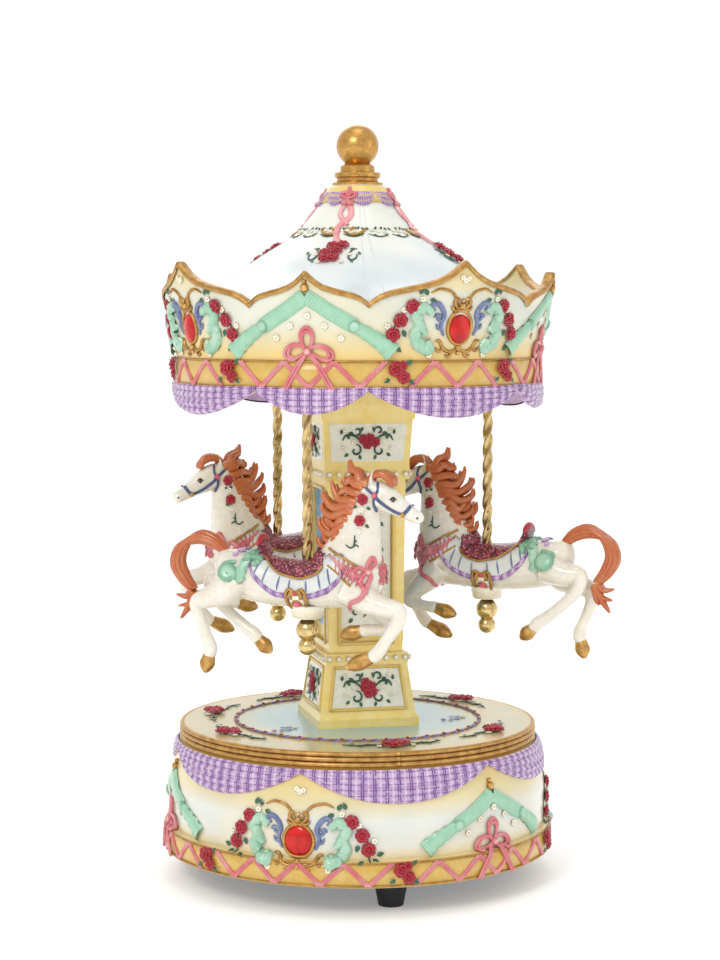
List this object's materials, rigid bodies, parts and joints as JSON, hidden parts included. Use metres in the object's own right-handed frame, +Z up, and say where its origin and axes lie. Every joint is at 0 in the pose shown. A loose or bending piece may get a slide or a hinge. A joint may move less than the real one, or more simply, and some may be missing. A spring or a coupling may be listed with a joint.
{
  "type": "carousel music box",
  "caption": "Wind-up music box in the form of a fairground carousel: galloping horses on twisted brass rods under a scalloped, flower-trimmed canopy.",
  "frame": {"origin": "on the spindle's axis, in the plane that the feet stand on", "axes": "+Z up along the spindle, -Y towards the front"},
  "size_m": [0.1244, 0.11, 0.211],
  "materials": {
    "crimson_resin": "painted crimson",
    "pink_resin": "painted pink",
    "green_resin": "painted green",
    "mint_resin": "painted mint",
    "blue_resin": "painted blue",
    "ivory_resin": "glazed ivory resin",
    "roof_resin": "glazed white resin",
    "horse_resin": "glazed ivory resin",
    "yellow_resin": "satin yellow resin",
    "deck_resin": "satin cream resin",
    "purple_resin": "painted lilac plaid",
    "gold_resin": "antique gold paint",
    "red_jewel": "polished acrylic stone",
    "brass": "polished",
    "steel": "satin",
    "zinc": "cast",
    "black_plastic": "moulded",
    "rubber": "matte"
  },
  "bodies": {
    "base": {"base_shell": "ivory_resin", "bottom_plate": "black_plastic", "bottom_plate_screws": "steel", "feet": "rubber", "base_jewels": "red_jewel", "deck_plate": "deck_resin", "lower_spindle_bush": "brass", "column_pedestal": "yellow_resin", "column_shaft": "yellow_resin", "column_capital": "yellow_resin", "upper_spindle_bush": "brass", "movement_bedplate": "zinc", "movement_screws": "steel", "click_spring": "steel", "drum_bearing_post": "zinc", "train_plate": "zinc", "train_outer_post": "zinc", "governor_frame": "zinc", "comb": "steel", "comb_block": "zinc", "comb_screws": "steel"},
    "carousel": {"drive_spindle": "steel", "spring_barrel": "brass", "crown_gear_lid": "brass", "mainspring": "steel", "canopy_ceiling": "ivory_resin", "canopy_hub": "ivory_resin", "canopy_rim": "ivory_resin", "canopy_valance": "purple_resin", "canopy_roof": "roof_resin", "canopy_jewels": "red_jewel", "finial": "gold_resin", "pole_sockets": "brass"},
    "winding": {"winding_key": "steel", "winding_arbor": "steel", "ratchet_wheel": "steel"},
    "drum": {"music_drum": "brass", "drum_arbor": "steel", "drum_pinion": "brass", "drum_wheel": "brass"},
    "train": {"train_arbor": "steel", "train_pinion": "steel", "worm_wheel": "brass"},
    "governor": {"governor_worm": "steel", "governor_vane": "black_plastic"},
    "horse_body_1": {"horse_1": "horse_resin", "pole_1": "brass", "pole_collar_1": "brass", "pole_balls_1": "brass"},
    "horse_body_2": {"horse_2": "horse_resin", "pole_2": "brass", "pole_collar_2": "brass", "pole_balls_2": "brass"},
    "horse_body_3": {"horse_3": "horse_resin", "pole_3": "brass", "pole_collar_3": "brass", "pole_balls_3": "brass"}
  },
  "joints": [
    {"name": "carousel_spin", "type": "hinge", "parent": "base", "child": "carousel", "pos_m": [0, 0, 0.1], "axis": [0, 0, 1], "continuous": true},
    {"name": "horse_1_swivel", "type": "hinge", "parent": "carousel", "child": "horse_body_1", "pos_m": [-0.02097, -0.03109, 0.0953], "axis": [0, 0, 1], "range_deg": [-25, 54]},
    {"name": "horse_2_swivel", "type": "hinge", "parent": "carousel", "child": "horse_body_2", "pos_m": [0.03741, -0.00262, 0.0953], "axis": [0, 0, 1], "range_deg": [-79, 0]},
    {"name": "horse_3_swivel", "type": "hinge", "parent": "carousel", "child": "horse_body_3", "pos_m": [-0.01644, 0.0337, 0.0953], "axis": [0, 0, 1], "range_deg": [-11, 68]},
    {"name": "key_turn", "type": "hinge", "parent": "base", "child": "winding", "pos_m": [0, 0, 0.01], "axis": [0, 0, 1], "continuous": true},
    {"name": "drum_turn", "type": "hinge", "parent": "base", "child": "drum", "pos_m": [0.024, 0, 0.03], "axis": [1, 0, 0], "continuous": true},
    {"name": "train_turn", "type": "hinge", "parent": "base", "child": "train", "pos_m": [0.035, -0.008, 0.03], "axis": [1, 0, 0], "continuous": true},
    {"name": "governor_turn", "type": "hinge", "parent": "base", "child": "governor", "pos_m": [0.0368, -0.0143, 0.03], "axis": [0, 0, 1], "continuous": true}
  ],
  "couplings": [
    {"joint": "drum_turn", "follows": "carousel_spin", "ratio": 3},
    {"joint": "train_turn", "follows": "carousel_spin", "ratio": -9},
    {"joint": "governor_turn", "follows": "carousel_spin", "ratio": -180}
  ]
}
